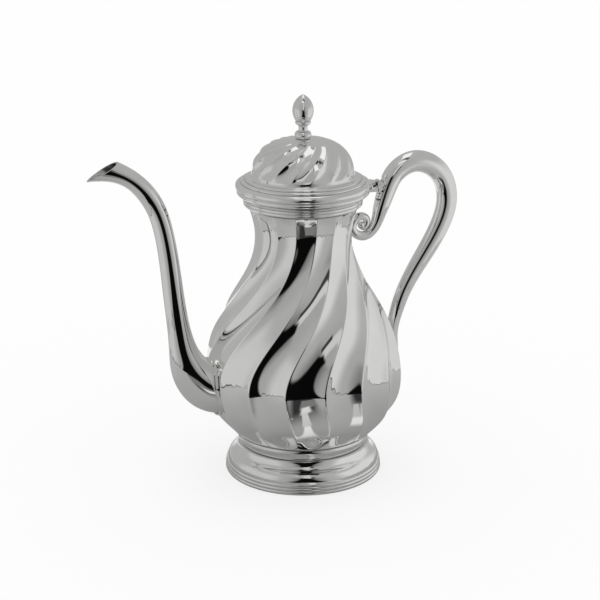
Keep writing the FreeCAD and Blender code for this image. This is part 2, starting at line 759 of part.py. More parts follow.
# Hinge: a pin through one lid knuckle between two knuckles that stay with the pot
hinge_pin = barrel("hinge_pin", "Sizes.hinge_pin_radius", "Sizes.hinge_width + 2 * Sizes.pin_end",
                   "-Sizes.hinge_width / 2 - Sizes.pin_end")
side_length = "(Sizes.hinge_width - Sizes.middle_knuckle) / 2 - Sizes.swing_gap"
bore_radius = "Sizes.hinge_pin_radius + Sizes.pin_fit"
near_barrel = barrel("near_barrel", "Sizes.barrel_radius", side_length, "-Sizes.hinge_width / 2")
near_bore = barrel("near_bore", "Sizes.hinge_pin_radius", "Sizes.hinge_width * 2", "-Sizes.hinge_width")
knuckle_near = cut_away("hinge_knuckle_near", near_barrel, [near_bore])
far_barrel = barrel("far_barrel", "Sizes.barrel_radius", side_length,
                    "Sizes.middle_knuckle / 2 + Sizes.swing_gap")
far_bore = barrel("far_bore", "Sizes.hinge_pin_radius", "Sizes.hinge_width * 2", "-Sizes.hinge_width")
knuckle_far = cut_away("hinge_knuckle_far", far_barrel, [far_bore])
lid_barrel = barrel("lid_barrel", "Sizes.barrel_radius", "Sizes.middle_knuckle", "-Sizes.middle_knuckle / 2")
lid_bore = barrel("lid_bore", bore_radius, "Sizes.hinge_width * 2", "-Sizes.hinge_width")
lid_knuckle = cut_away("lid_knuckle", lid_barrel, [lid_bore])

# Lid leaf: a flat tongue that narrows from the bead of the lid's rim to the top of its knuckle
leaf_blank = doc.addObject("PartDesign::Body", "leaf_blank")
leaf_sketch = leaf_blank.newObject("Sketcher::SketchObject", "leaf_outline")
leaf_sketch.AttachmentSupport = (origin_plane(leaf_blank, "XY_Plane"), "")
leaf_sketch.MapMode = "FlatFace"
leaf_sketch.setExpression("AttachmentOffset.Base.z", "Sizes.hinge_z + Sizes.barrel_radius - Sizes.leaf_thick")
put("leaf_root_x", "=rim_radius - leaf_tuck")
put("leaf_root_y", "=leaf_spread / 2")
put("leaf_waist_x", "=hinge_x - barrel_radius - swing_gap")
put("leaf_waist_y", "=middle_knuckle / 2")
put("leaf_end_x", "=hinge_x")
doc.recompute()
leaf_corners = [("leaf_root_x", "leaf_root_y", -1), ("leaf_waist_x", "leaf_waist_y", -1),
                ("leaf_end_x", "leaf_waist_y", -1), ("leaf_end_x", "leaf_waist_y", 1),
                ("leaf_waist_x", "leaf_waist_y", 1), ("leaf_root_x", "leaf_root_y", 1)]
for number, corner in enumerate(leaf_corners):
    following = leaf_corners[(number + 1) % len(leaf_corners)]
    start = Vector(size(corner[0]), corner[2] * size(corner[1]), 0)
    end = Vector(size(following[0]), following[2] * size(following[1]), 0)
    leaf_sketch.addGeometry(Part.LineSegment(start, end), False)
for number, corner in enumerate(leaf_corners):
    following = (number + 1) % len(leaf_corners)
    leaf_sketch.addConstraint(Sketcher.Constraint("Coincident", number, 2, following, 1))
for number, corner in enumerate(leaf_corners):
    index = leaf_sketch.addConstraint(Sketcher.Constraint("DistanceX", -1, 1, number, 1, size(corner[0])))
    leaf_sketch.renameConstraint(index, "along_%d" % number)
    leaf_sketch.setExpression("Constraints.along_%d" % number, "Sizes." + corner[0])
    beside = corner[2] * size(corner[1])
    index = leaf_sketch.addConstraint(Sketcher.Constraint("DistanceY", -1, 1, number, 1, beside))
    leaf_sketch.renameConstraint(index, "beside_%d" % number)
    leaf_sketch.setExpression("Constraints.beside_%d" % number, "%d * Sizes.%s" % (corner[2], corner[1]))
leaf_pad = leaf_blank.newObject("PartDesign::Pad", "leaf_pad")
leaf_pad.Profile = leaf_sketch
leaf_pad.setExpression("Length", "Sizes.leaf_thick")
leaf_core = doc.addObject("Part::Cylinder", "leaf_core")
leaf_core.setExpression("Radius", "Sizes.rim_bore + Sizes.metal")
leaf_core.setExpression("Height", "Sizes.dome_top")
leaf_barrel = barrel("leaf_barrel", "Sizes.barrel_radius", "Sizes.hinge_width * 2", "-Sizes.hinge_width")
doc.recompute()
lid_leaf = cut_away("lid_leaf", leaf_blank, [leaf_core, lid_rim, leaf_barrel])

# Fixed leaf: a bar from the mouth band to the handle, with a saddle under the outer knuckles.
# The handle is hollowed for the knuckles and filed flat above them, where the open tongue comes to lie.
bar = doc.addObject("Part::Box", "fixed_leaf_bar")
bar.setExpression("Length", "Sizes.stem_middle - Sizes.mouth_radius")
bar.setExpression("Width", "Sizes.fixed_leaf_width")
bar.setExpression("Height", "Sizes.fixed_leaf_thick")
bar.setExpression("Placement.Base.x", "Sizes.mouth_radius")
bar.setExpression("Placement.Base.y", "-Sizes.fixed_leaf_width / 2")
bar.setExpression("Placement.Base.z", "Sizes.mouth_top - Sizes.fixed_leaf_thick")
saddle = doc.addObject("Part::Box", "fixed_leaf_saddle")
saddle.setExpression("Length", "Sizes.stem_middle - Sizes.hinge_x + Sizes.saddle_reach")
saddle.setExpression("Width", "Sizes.hinge_width - 2 * Sizes.saddle_inset")
saddle.setExpression("Height", "Sizes.hinge_z - Sizes.saddle_drop - Sizes.mouth_top + Sizes.fixed_leaf_thick")
saddle.setExpression("Placement.Base.x", "Sizes.hinge_x - Sizes.saddle_reach")
saddle.setExpression("Placement.Base.y", "-Sizes.hinge_width / 2 + Sizes.saddle_inset")
saddle.setExpression("Placement.Base.z", "Sizes.mouth_top - Sizes.fixed_leaf_thick")
bar_and_saddle = doc.addObject("Part::Fuse", "bar_and_saddle")
bar_and_saddle.Base = bar
bar_and_saddle.Tool = saddle
bar_core = doc.addObject("Part::Cylinder", "bar_core")
bar_core.setExpression("Radius", "Sizes.mouth_radius + 2 * Sizes.band_seat")
bar_core.setExpression("Height", "Sizes.dome_top")
knuckle_seat = barrel("knuckle_seat", "Sizes.barrel_radius", "Sizes.hinge_width", "-Sizes.hinge_width / 2")
lid_way = barrel("lid_way", "Sizes.barrel_radius + Sizes.swing_gap",
                 "Sizes.middle_knuckle + 2 * Sizes.swing_gap",
                 "-Sizes.middle_knuckle / 2 - Sizes.swing_gap")
leaf_way = doc.addObject("Part::Box", "leaf_way")
leaf_way.setExpression("Length", "Sizes.leaf_way_depth")
leaf_way.setExpression("Width", "Sizes.middle_knuckle + 4 * Sizes.swing_gap")
leaf_way.setExpression("Height", "Sizes.leaf_way_height")
leaf_way.setExpression("Placement.Base.x", "Sizes.hinge_x")
leaf_way.setExpression("Placement.Base.y", "-Sizes.middle_knuckle / 2 - 2 * Sizes.swing_gap")
leaf_way.setExpression("Placement.Base.z", "Sizes.hinge_z + Sizes.leaf_way_rise")
doc.recompute()
handle = cut_away("handle", handle_blank, [knuckle_seat, lid_way, leaf_way])
fixed_leaf = cut_away("hinge_fixed_leaf", bar_and_saddle,
                      [bar_core, mouth_band, handle, knuckle_seat, lid_way])

pieces = [foot_wire, foot, collar, body_floor] + walls + [
    mouth_band, spout, spout_collar, handle, fixed_leaf, knuckle_near, knuckle_far, hinge_pin,
    lid_rim, lid_bezel, lid_dome, lid_leaf, lid_knuckle, finial, finial_washer, finial_nut]
doc.recompute()
for thing in doc.Objects:
    if "Invalid" in thing.State or "Error" in thing.State:
        raise RuntimeError("%s did not build: %s" % (thing.Label, thing.State))
for piece in pieces:
    if piece.Shape.isNull() or not piece.Shape.isValid() or len(piece.Shape.Solids) != 1:
        raise RuntimeError("%s has %d solids" % (piece.Label, len(piece.Shape.Solids)))
os.makedirs("parts", exist_ok=True)
for piece in pieces:
    piece.Shape.exportStep("parts/%s.step" % piece.Label)
    box = piece.Shape.BoundBox
    print("%-20s %9.1f mm3  x %.1f..%.1f  y %.1f..%.1f  z %.1f..%.1f" % (
        piece.Label, piece.Shape.Volume, box.XMin, box.XMax, box.YMin, box.YMax, box.ZMin, box.ZMax))
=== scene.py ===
import math
import bmesh
import bpy
import numpy as np
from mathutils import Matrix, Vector


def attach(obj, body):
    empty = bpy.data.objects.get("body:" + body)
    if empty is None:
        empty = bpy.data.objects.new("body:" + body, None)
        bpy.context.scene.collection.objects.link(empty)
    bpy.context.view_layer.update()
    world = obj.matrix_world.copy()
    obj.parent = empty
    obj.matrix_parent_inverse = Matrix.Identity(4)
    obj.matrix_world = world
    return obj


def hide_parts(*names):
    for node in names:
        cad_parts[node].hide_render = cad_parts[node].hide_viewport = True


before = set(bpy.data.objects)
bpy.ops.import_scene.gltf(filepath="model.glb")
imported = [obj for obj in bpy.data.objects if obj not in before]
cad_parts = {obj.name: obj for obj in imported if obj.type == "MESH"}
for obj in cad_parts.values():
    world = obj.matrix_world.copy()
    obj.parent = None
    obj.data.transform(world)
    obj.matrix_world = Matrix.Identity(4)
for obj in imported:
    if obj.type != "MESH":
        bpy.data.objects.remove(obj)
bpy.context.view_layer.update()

# Base wire: the reeded ring the pot stands on. Drawn silver-plated wire, bent to a ring, soldered
# under the spun foot and buffed on a lathe, so its polish runs round the axis.
MM = 0.001
TINY = 1e-6
SHARP_ANGLE = 40


def arc_to(points, end, radius, bulge):
    """Adds an arc from the last point to end. bulge 1 swells away from the metal, -1 hollows it."""
    start = Vector(points[-1])
    end = Vector(end)
    chord = end - start
    side = Vector((-chord.y, chord.x)).normalized() * bulge
    rise = math.sqrt(max(radius ** 2 - chord.length_squared / 4, 0))
    centre = (start + end) / 2 + side * rise
    first = math.atan2(start.y - centre.y, start.x - centre.x)
    last = math.atan2(end.y - centre.y, end.x - centre.x)
    sweep = (last - first) * bulge % (2 * math.pi)
    fewest_steps, step_angle = 6, math.radians(9)
    steps = max(fewest_steps, int(sweep / step_angle))
    for step in range(1, steps + 1):
        angle = first + bulge * sweep * step / steps
        points.append((centre.x + radius * math.cos(angle), centre.y + radius * math.sin(angle)))


def outline_points(corners):
    """Corners are (radius, height), or (radius, height, arc radius, bulge) for an arc to the next one."""
    points = [corners[0][:2]]
    closed = corners + [corners[0]]
    for before, after in zip(closed, closed[1:]):
        if len(before) == 4:
            arc_to(points, after[:2], before[2], before[3])
        else:
            points.append(after[:2])
    return points[:-1]


def add_mesh(name, vertices, faces, material, body, *nodes, sharp_angle=SHARP_ANGLE, crevice=None):
    """Makes a smooth-shaded piece in millimetres that stands for CAD nodes and rides on their body.
    crevice gives for each vertex how much painted shade darkens it and how much rougher it is, 0 to 1."""
    mesh = bpy.data.meshes.new(name)
    mesh.from_pydata([tuple(value * MM for value in point) for point in vertices], [], faces)
    if crevice:
        mesh.attributes.new("crevice", "FLOAT", "POINT").data.foreach_set("value", crevice)
    work = bmesh.new()
    work.from_mesh(mesh)
    bmesh.ops.remove_doubles(work, verts=work.verts, dist=TINY)
    bmesh.ops.recalc_face_normals(work, faces=work.faces)
    work.to_mesh(mesh)
    work.free()
    for polygon in mesh.polygons:
        polygon.use_smooth = True
    mesh.set_sharp_from_angle(angle=math.radians(sharp_angle))
    mesh.materials.append(material)
    piece = bpy.data.objects.new(name, mesh)
    bpy.context.scene.collection.objects.link(piece)
    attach(piece, body)
    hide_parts(*nodes)
    return piece


def crevices(outline, dull):
    """How much painted shade each point of an outline gets, 0 to 1: a little in inward corners, and fully at
    the heights given in dull, fading over the reach given with each."""
    corner_turn, corner_shade, corner_reach, same_height = math.radians(35), 0.45, 0.3, 0.02
    deep = []
    for before, point, after in zip(outline[-1:] + outline[:-1], outline, outline[1:] + outline[:1]):
        turn = (Vector(point) - Vector(before)).angle_signed(Vector(after) - Vector(point), 0.0)
        if turn > corner_turn:
            deep.append((point, corner_shade, corner_reach))
        for height, reach in dull:
            if abs(point[1] - height) < same_height:
                deep.append((point, 1.0, reach))
    return [max([most * (1 - math.dist(point, low) / reach) for low, most, reach in deep] + [0.0])
            for point in outline]


def spun(name, corners, material, body, node, edge=0.12, around=192, dull=()):
    """Turns an outline round the pot's axis and breaks its sharp corners. dull lists the heights, each
    with a reach, where painted shade darkens the crevice beside a neighbour."""
    outline = outline_points(corners)
    vertices = []
    faces = []
    count = len(outline)
    for step in range(around):
        angle = 2 * math.pi * step / around
        for radius, height in outline:
            vertices.append((radius * math.cos(angle), radius * math.sin(angle), height))
    for step in range(around):
        following = (step + 1) % around
        for number in range(count):
            onward = (number + 1) % count
            if outline[number][0] < TINY and outline[onward][0] < TINY:
                continue
            faces.append((step * count + number, following * count + number,
                          following * count + onward, step * count + onward))
    piece = add_mesh(name, vertices, faces, material, body, node, crevice=crevices(outline, dull) * around)
    broken = piece.modifiers.new("broken_edges", "BEVEL")
    broken.width = edge * MM
    broken.segments = 2
    broken.limit_method = "ANGLE"
    broken.angle_limit = math.radians(SHARP_ANGLE)


def feed(tree, socket, value):
    """Sets a socket to a number, or links it to another socket."""
    if isinstance(value, (int, float)):
        socket.default_value = value
    else:
        tree.links.new(value, socket)


def sums(tree, operation, *values):
    """One step of arithmetic in a node tree."""
    node = tree.nodes.new("ShaderNodeMath")
    node.operation = operation
    for socket, value in zip(node.inputs, values):
        feed(tree, socket, value)
    return node.outputs[0]


def shaded_polish_group():
    """Hand polish: faint wipe marks, cloudy tone and slow ripples, and painted shade with a rougher surface
    in the crevices.
    """
    group = bpy.data.node_groups.new("polish_and_crevice_shade", "ShaderNodeTree")
    sockets = (("Wipe Size", 160.0), ("Wipe Stretch", 0.2), ("Lathe", 0.0), ("Ripple Size", 60.0),
               ("Bright", 0.9), ("Dull", 0.82), ("Smooth", 0.03), ("Hazy", 0.09))
    for title, value in sockets:
        socket = group.interface.new_socket(title, in_out="INPUT", socket_type="NodeSocketFloat")
        socket.default_value = value
    group.interface.new_socket("Color", in_out="OUTPUT", socket_type="NodeSocketColor")
    group.interface.new_socket("Roughness", in_out="OUTPUT", socket_type="NodeSocketFloat")
    group.interface.new_socket("Ripple", in_out="OUTPUT", socket_type="NodeSocketFloat")
    ring_squeeze, crevice_dark, crevice_haze = 8.0, 0.85, 0.4
    warm_green, warm_blue = 0.998, 0.985
    nodes = group.nodes
    links = group.links
    given = nodes.new("NodeGroupInput")
    result = nodes.new("NodeGroupOutput")
    place = nodes.new("ShaderNodeTexCoord")
    apart = nodes.new("ShaderNodeSeparateXYZ")
    links.new(place.outputs["Object"], apart.inputs[0])

    across_x = sums(group, "MULTIPLY", apart.outputs["X"], apart.outputs["X"])
    across_y = sums(group, "MULTIPLY", apart.outputs["Y"], apart.outputs["Y"])
    from_axis = sums(group, "SQRT", sums(group, "ADD", across_x, across_y))
    rings = nodes.new("ShaderNodeCombineXYZ")
    links.new(sums(group, "MULTIPLY", from_axis, ring_squeeze), rings.inputs["X"])
    links.new(sums(group, "MULTIPLY", apart.outputs["Z"], ring_squeeze), rings.inputs["Z"])
    wiped = nodes.new("ShaderNodeCombineXYZ")
    links.new(apart.outputs["X"], wiped.inputs["X"])
    links.new(apart.outputs["Y"], wiped.inputs["Y"])
    links.new(sums(group, "MULTIPLY", apart.outputs["Z"], given.outputs["Wipe Stretch"]), wiped.inputs["Z"])
    choose = nodes.new("ShaderNodeMix")
    choose.data_type = "VECTOR"
    links.new(given.outputs["Lathe"], choose.inputs["Factor"])
    links.new(wiped.outputs[0], choose.inputs["A"])
    links.new(rings.outputs[0], choose.inputs["B"])
    marks = nodes.new("ShaderNodeTexNoise")
    marks.inputs["Detail"].default_value = 5.0
    marks.inputs["Roughness"].default_value = 0.65
    links.new(choose.outputs["Result"], marks.inputs["Vector"])
    links.new(given.outputs["Wipe Size"], marks.inputs["Scale"])
    cloud = nodes.new("ShaderNodeTexNoise")
    cloud.inputs["Scale"].default_value = 28.0
    cloud.inputs["Detail"].default_value = 3.0
    links.new(place.outputs["Object"], cloud.inputs["Vector"])
    ripple = nodes.new("ShaderNodeTexNoise")
    ripple.inputs["Detail"].default_value = 1.0
    links.new(place.outputs["Object"], ripple.inputs["Vector"])
    links.new(given.outputs["Ripple Size"], ripple.inputs["Scale"])
    tone = nodes.new("ShaderNodeMapRange")
    tone.inputs["From Min"].default_value = 0.3
    tone.inputs["From Max"].default_value = 0.7
    links.new(cloud.outputs["Fac"], tone.inputs["Value"])
    links.new(given.outputs["Dull"], tone.inputs["To Min"])
    links.new(given.outputs["Bright"], tone.inputs["To Max"])
    # Painted shade: the crevice attribute darkens the colour and roughens the surface.
    crevice = nodes.new("ShaderNodeAttribute")
    crevice.attribute_name = "crevice"
    depth = crevice.outputs["Fac"]
    shade_factor = sums(group, "MULTIPLY_ADD", depth, -crevice_dark, 1.0)
    shaded = sums(group, "MULTIPLY", tone.outputs["Result"], shade_factor)
    warm = nodes.new("ShaderNodeCombineColor")
    links.new(shaded, warm.inputs["Red"])
    links.new(sums(group, "MULTIPLY", shaded, warm_green), warm.inputs["Green"])
    links.new(sums(group, "MULTIPLY", shaded, warm_blue), warm.inputs["Blue"])
    haze = nodes.new("ShaderNodeMapRange")
    haze.inputs["From Min"].default_value = 0.35
    haze.inputs["From Max"].default_value = 0.75
    links.new(marks.outputs["Fac"], haze.inputs["Value"])
    links.new(given.outputs["Smooth"], haze.inputs["To Min"])
    links.new(given.outputs["Hazy"], haze.inputs["To Max"])
    links.new(warm.outputs["Color"], result.inputs["Color"])
    rougher = sums(group, "MULTIPLY_ADD", depth, crevice_haze, haze.outputs["Result"])
    links.new(rougher, result.inputs["Roughness"])
    links.new(ripple.outputs["Fac"], result.inputs["Ripple"])
    return group


polish_and_crevice_shade = shaded_polish_group()


def silver(name, ripple_height=0.0, **values):
    """Polished silver plate with its own wipe marks, tone and ripples."""
    material = bpy.data.materials.new(name)
    material.use_nodes = True
    nodes = material.node_tree.nodes
    links = material.node_tree.links
    metal = nodes["Principled BSDF"]
    metal.inputs["Metallic"].default_value = 1.0
    polish = nodes.new("ShaderNodeGroup")
    polish.node_tree = polish_and_crevice_shade
    for title, value in values.items():
        polish.inputs[title.replace("_", " ").title()].default_value = value
    links.new(polish.outputs["Color"], metal.inputs["Base Color"])
    links.new(polish.outputs["Roughness"], metal.inputs["Roughness"])
    if ripple_height:
        waves = nodes.new("ShaderNodeBump")
        waves.inputs["Strength"].default_value = 1.0
        waves.inputs["Distance"].default_value = ripple_height * MM
        links.new(polish.outputs["Ripple"], waves.inputs["Height"])
        links.new(waves.outputs["Normal"], metal.inputs["Normal"])
    return material


wire_inside, wire_radius, wire_top = 52.7, 56.9, 7.8
reed_curve, reed_step, foot_brim = 1.5, 0.3, 56.0
spun_silver = silver("spun_silver", lathe=1.0, wipe_size=420.0, smooth=0.03, hazy=0.1)
spun("base_wire", [
    (wire_inside, 0), (wire_radius, 0, reed_curve, 1), (wire_radius, wire_top / 3, reed_curve, 1),
    (wire_radius - reed_step, wire_top * 2 / 3, reed_curve, 1), (foot_brim, wire_top),
    (wire_inside, wire_top),
], spun_silver, "pot", "foot_wire", edge=0.1)

# Foot: spun from sheet to an ogee, hollow underneath and soldered to the base wire.
# Same lathe polish as the wire.
foot_stem, foot_rise, sheet_metal = 46.6, 14.6, 1.2
foot_spread = foot_brim - foot_stem
foot_top = wire_top + foot_rise
ogee = (foot_spread ** 2 + foot_rise ** 2) / (4 * foot_spread)
slant = (foot_spread - 2 * ogee) / (2 * ogee)
drop = foot_rise / (2 * ogee)
thicker = ogee + sheet_metal
# Painted shade darkens the foot's top edge under the collar's lip.
spun("spun_foot", [
    (foot_brim - sheet_metal, wire_top), (foot_brim, wire_top, ogee, 1),
    (foot_stem + ogee + ogee * slant, foot_top - ogee * drop, ogee, -1), (foot_stem, foot_top),
    (foot_stem - sheet_metal, foot_top, thicker, 1),
    (foot_stem + ogee + thicker * slant, foot_top - thicker * drop, ogee - sheet_metal, -1),
], spun_silver, "pot", "foot_ogee", edge=0.08, dull=((foot_top, 0.9),))

# Collar: a flaring cup of sheet that joins the foot to the body, soldered on both edges.
# Painted shade makes a dark line at its undercut lower edge and darkens its top edge.
collar_foot, collar_mouth, collar_top = 47.4, 51.4, 32.3
collar_undercut, collar_lip, collar_curve = 1.0, 0.8, 21.78
spun("flared_collar", [
    (foot_stem - sheet_metal, foot_top), (collar_foot - collar_undercut, foot_top),
    (collar_foot, foot_top + collar_lip, collar_curve, -1), (collar_mouth, collar_top),
    (collar_mouth - sheet_metal, collar_top, collar_curve + sheet_metal, 1),
    (foot_stem - sheet_metal, foot_top + collar_lip),
], spun_silver, "pot", "foot_collar", edge=0.1, dull=((foot_top, 0.4), (collar_top, 0.4)))

# Body: stampings of silver-plated sheet, soldered edge to edge and polished until no seam shows.
# Sixteen flutes swirl from the collar up to the mouth, and wear has softened the ridges between them.
FLUTES = 16
BODY_FOOT, BODY_TOP = collar_top, 203.2
belly_radius, belly_height, neck_height = 72.2, 70.0, 178.0
body_profile = [
    (BODY_FOOT, collar_mouth), (48, 65.2), (belly_height, belly_radius), (100, 68.1), (130, 53.7),
    (155, 40.3), (neck_height, 35.2), (194.2, 37.5), (BODY_TOP, 40.3),
]


def curve_through(places, values):
    """A smooth curve through the given values."""
    places = np.array(places, float)
    values = np.array(values, float)
    gaps = np.diff(places)
    slopes = np.diff(values) / gaps
    count = len(places)
    matrix = np.zeros((count, count))
    target = np.zeros(count)
    matrix[0, 0] = matrix[-1, -1] = 1
    for number in range(1, count - 1):
        matrix[number, number - 1] = gaps[number - 1]
        matrix[number, number] = 2 * (gaps[number - 1] + gaps[number])
        matrix[number, number + 1] = gaps[number]
        target[number] = 3 * (slopes[number] - slopes[number - 1])
    bend = np.linalg.solve(matrix, target)

    def at(place):
        number = int(np.clip(np.searchsorted(places, place) - 1, 0, count - 2))
        beyond = place - places[number]
        first = slopes[number] - gaps[number] * (2 * bend[number] + bend[number + 1]) / 3
        third = (bend[number + 1] - bend[number]) / (3 * gaps[number])
        return values[number] + beyond * (first + beyond * (bend[number] + beyond * third))

    return at


ridge_line = curve_through(*zip(*body_profile))


def ease(share):
    """Starts and ends gently while share goes from 0 to 1."""
    share = min(max(share, 0.0), 1.0)
    return share * share * (3 - 2 * share)


def arch(share):
    """Starts steeply and ends gently while share goes from 0 to 1."""
    return math.sin(min(max(share, 0.0), 1.0) * math.pi / 2)


swirl_start, swirl_rise = 80, 108
belly_turn, neck_turn, foot_turn = 28.6, 47.3, 6


def body_turn(height):
    """How far the flutes have swirled round at a height."""
    lower = ease((swirl_start - height) / (swirl_start - BODY_FOOT))
    upper = ease((height - swirl_start) / swirl_rise)
    return math.radians(belly_turn + neck_turn * upper + foot_turn * lower)


flute_depth, flute_swell = 4, 1.5
plain_edge, run_in_height, run_out_height = 1.6, 11, 8


def body_depth(height):
    """Depth of the flutes at a height: they are deepest on the belly and run out at both edges."""
    run_in = arch((height - BODY_FOOT - plain_edge) / run_in_height)
    run_out = arch((BODY_TOP - plain_edge - height) / run_out_height)
    return flute_depth * (ridge_line(height) / belly_radius) ** flute_swell * run_in * run_out


RIDGE_ROUND, RIDGE_STEPS = 0.07, 4


def flute_rise(share):
    """Height of a flute's section, 0 in the hollow to 1 on its rounded ridge; share runs -1 to 1."""
    from_ridge = 1 - abs(share)
    if from_ridge > RIDGE_ROUND:
        return share * share / (1 - RIDGE_ROUND)
    return 1 - (from_ridge / RIDGE_ROUND) ** 2 * RIDGE_ROUND


def flute_shares(plain_steps):
    """Steps across one flute, crowded at the ridge."""
    half = [1 - RIDGE_ROUND * step / RIDGE_STEPS for step in range(RIDGE_STEPS + 1)]
    half += [(1 - RIDGE_ROUND) * (1 - step / plain_steps) for step in range(1, plain_steps)]
    return [-share for share in half] + [0.0] + half[::-1][:-1]


def body_radius(height, angle):
    """Outside radius of the body at a height and an angle round the axis."""
    share = (angle - body_turn(height)) * FLUTES / math.pi
    share = (share + 1) % 2 - 1
    return ridge_line(height) - body_depth(height) * (1 - flute_rise(share))


def fluted_rows(rows, shares):
    """Rings of points of a fluted skin. Each row is (ridge radius, height, depth, turn)."""
    rings = []
    for ridge, height, depth, turn in rows:
        ring = []
        for flute in range(FLUTES):
            for share in shares:
                angle = turn + (2 * flute + share) * math.pi / FLUTES
                out = ridge - depth * (1 - flute_rise(share))
                ring.append((out * math.cos(angle), out * math.sin(angle), height))
        rings.append(ring)
    return rings


def lathe_rings(rings, closed=False):
    """Joins rings of equally many points, one above the other, with faces, and closes both ends if asked."""
    around = len(rings[0])
    vertices = [point for ring in rings for point in ring]
    faces = []
    for row in range(len(rings) - 1):
        for number in range(around):
            onward = (number + 1) % around
            faces.append((row * around + number, row * around + onward,
                          (row + 1) * around + onward, (row + 1) * around + number))
    if closed:
        faces.append(tuple(range(around))[::-1])
        faces.append(tuple(range(len(vertices) - around, len(vertices))))
    return vertices, faces


def body_rows(inset, foot, steps):
    """Rows of the body from the height of its foot to its top."""
    rows = []
    for step in range(steps + 1):
        height = foot + (BODY_TOP - foot) * step / steps
        rows.append((ridge_line(height) - inset, height, body_depth(height), body_turn(height)))
    return rows


OUTSIDE_ROWS, INSIDE_ROWS, BODY_FLUTE_STEPS = 300, 120, 9
body_shares = flute_shares(BODY_FLUTE_STEPS)
rings = fluted_rows(body_rows(0, BODY_FOOT, OUTSIDE_ROWS), body_shares)
rings += fluted_rows(body_rows(sheet_metal, BODY_FOOT + sheet_metal, INSIDE_ROWS), body_shares)[::-1]
vertices, faces = lathe_rings(rings, closed=True)
# Painted shade darkens the body just under the mouth band and just above the collar.
band_shadow, band_fade, collar_shadow, collar_fade = 3.6, 1.2, 0.8, 0.7
body_shade = [max(ease((height - BODY_TOP + band_shadow) / band_fade),
                 ease((BODY_FOOT + collar_shadow - height) / collar_fade)) for x, y, height in vertices]
chased_silver = silver("chased_silver", ripple_height=0.05, ripple_size=70.0, wipe_size=110.0,
                       smooth=0.015, hazy=0.05)
add_mesh("fluted_body", vertices, faces, chased_silver, "pot", "body_floor", "body_bowl_near",
         "body_bowl_far", "body_neck_near", "body_neck_far", sharp_angle=60, crevice=body_shade)

# Mouth band: a ring of reeded wire soldered over the top edge of the body.
# It stiffens the mouth and carries the fixed leaf of the hinge.
band_inside, band_lap, band_radius = 39.1, 40.7, 42.6
band_low, band_top, band_curve = 201.6, 209.0, 1.45
band_reed = (band_top - band_low) / 3
# Painted shade darkens its lower edge and its top edge where the lid hangs over it.
spun("reeded_band", [
    (band_inside, BODY_TOP), (band_lap, BODY_TOP), (band_lap, band_low),
    (band_radius - 0.8, band_low, band_curve, 1), (band_radius - 0.4, band_low + band_reed, band_curve, 1),
    (band_radius - 0.2, band_low + 2 * band_reed, band_curve, 1), (band_radius, band_top),
    (band_inside, band_top),
], spun_silver, "pot", "mouth_band", edge=0.1, dull=((band_low, 0.4), (band_top, 2.0)))

# Spout: two halves of raised metal soldered to a swan neck, oval from the body up to the lip.
# The tip is sawn off at a slant and filed to a point; the inside is rougher and darkened with painted shade.
spout_metal, spout_inside_shade, spout_root = 1.3, 0.5, 0.6
lip_x, lip_height, lip_slope = -144.6, 234.7, math.tan(math.radians(29))
spout_stops = [
    (-58.2, 66, 35.5, 23.5), (-70.2, 69.5, 35.5, 23.5), (-79, 76.5, 33, 22), (-86, 87, 27.5, 19.5),
    (-90, 99, 21.5, 15.4), (-92.3, 112.3, 17.4, 12.6), (-95.6, 138.3, 15.2, 11.6),
    (-101.2, 185, 13.9, 11.2), (-107, 206, 13.7, 11.2), (-115.2, 219.6, 13.4, 11.6),
    (-125, 229, 13.2, 12.6), (-138, 235.5, 15.4, 14), (-154, 239, 20, 15), (-166, 240.5, 22, 16),
]


class Bent:
    """A tube that bends in the pot's own plane; each stop is (x, height, depth, width)."""

    def __init__(self, stops):
        run = [0.0]
        for before, after in zip(stops, stops[1:]):
            run.append(run[-1] + math.dist(before[:2], after[:2]))
        self.length = run[-1]
        self.curves = [curve_through(run, [stop[axis] for stop in stops]) for axis in range(4)]

    def heading(self, along):
        """Which way the tube runs, as parts of one along x and z."""
        nearby = 0.01
        dx = self.curves[0](along + nearby) - self.curves[0](along - nearby)
        dz = self.curves[1](along + nearby) - self.curves[1](along - nearby)
        scale = math.hypot(dx, dz)
        return dx / scale, dz / scale

    def point(self, along, angle, thinner=0.0):
        """A point of the tube's skin, or of a skin inside it that is thinner all round."""
        x, z, depth, width = (curve(along) for curve in self.curves)
        dx, dz = self.heading(along)
        high = (depth / 2 - thinner) * math.sin(angle)
        wide = (width / 2 - thinner) * math.cos(angle)
        return (x - dz * high, wide, z + dx * high)


def crossing(test, low, high):
    """Where a test that is true below and false above changes."""
    for _ in range(40):
        middle = (low + high) / 2
        if test(middle):
            low = middle
        else:
            high = middle
    return low


def below_lip(point):
    return point[2] < lip_height + (point[0] - lip_x) * lip_slope


def inside_body(point):
    wall = body_radius(point[2], math.atan2(point[1], point[0]))
    return math.hypot(point[0], point[1]) < wall - spout_root


SPOUT_ROWS, SPOUT_AROUND = 160, 64
ROOT_SEARCH, LIP_SEARCH = 40.0, 150.0
spout_line = Bent(spout_stops)


def spout_skin(thinner):
    """Rings of points from the body's wall to the slanting lip."""
    columns = []
    for number in range(SPOUT_AROUND):
        angle = 2 * math.pi * number / SPOUT_AROUND
        start = crossing(lambda along: inside_body(spout_line.point(along, angle, thinner)),
                         0.0, ROOT_SEARCH)
        end = crossing(lambda along: below_lip(spout_line.point(along, angle, thinner)),
                       LIP_SEARCH, spout_line.length)
        columns.append([spout_line.point(start + (end - start) * row / SPOUT_ROWS, angle, thinner)
                        for row in range(SPOUT_ROWS + 1)])
    return [[column[row] for column in columns] for row in range(SPOUT_ROWS + 1)]


outside = spout_skin(0.0)
inside = spout_skin(spout_metal)[::-1]
vertices, faces = lathe_rings(outside + inside + outside[:1])
